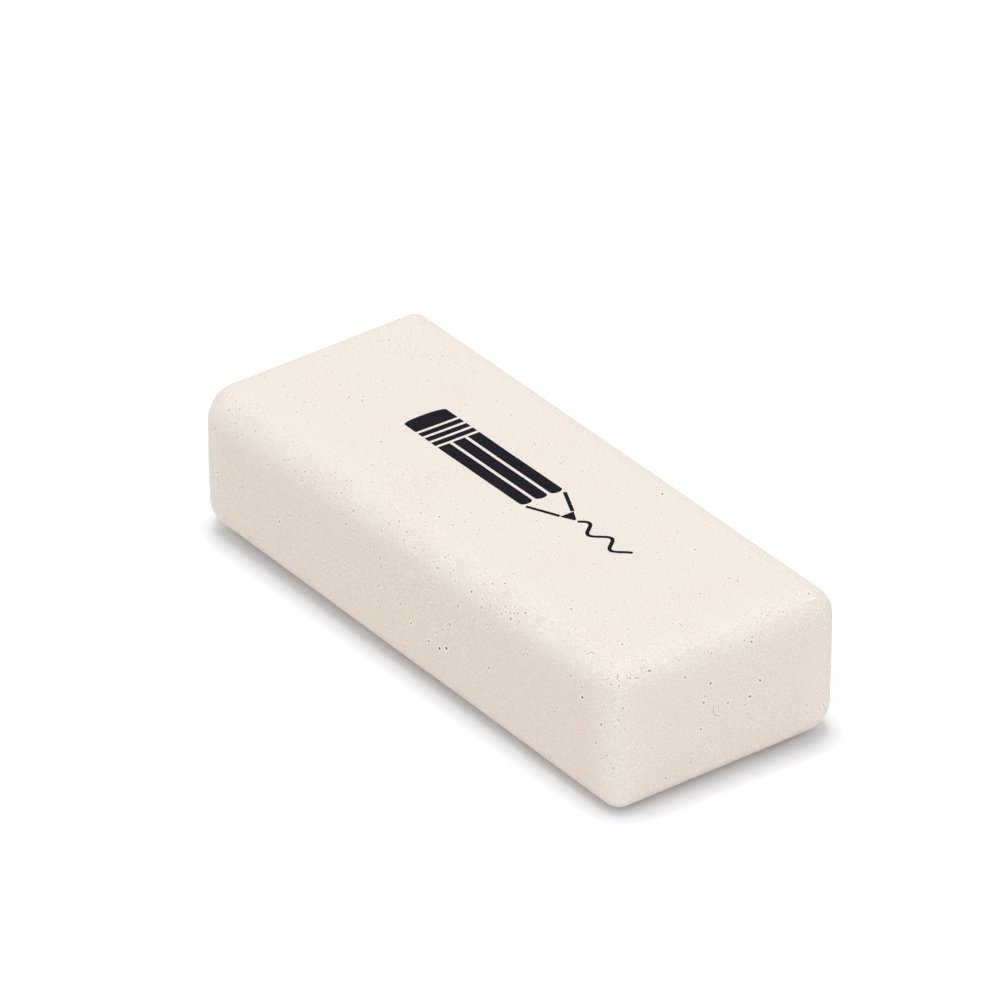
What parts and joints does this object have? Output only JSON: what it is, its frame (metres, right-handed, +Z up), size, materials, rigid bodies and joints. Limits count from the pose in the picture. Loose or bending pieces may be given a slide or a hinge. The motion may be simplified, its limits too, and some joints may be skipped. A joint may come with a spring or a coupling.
{
  "type": "rubber eraser",
  "caption": "Solid rectangular block eraser of natural cream rubber with tumbled, rounded edges, for rubbing out pencil marks.",
  "frame": {"origin": "middle of the underside, which rests on the desk", "axes": "+X along the length towards the right end, +Y across the width towards the back, +Z up through the top face"},
  "size_m": [0.06, 0.0234, 0.0135],
  "materials": {
    "natural_rubber": "matte"
  },
  "bodies": {
    "root": {"eraser_block": "natural_rubber"}
  },
  "joints": []
}
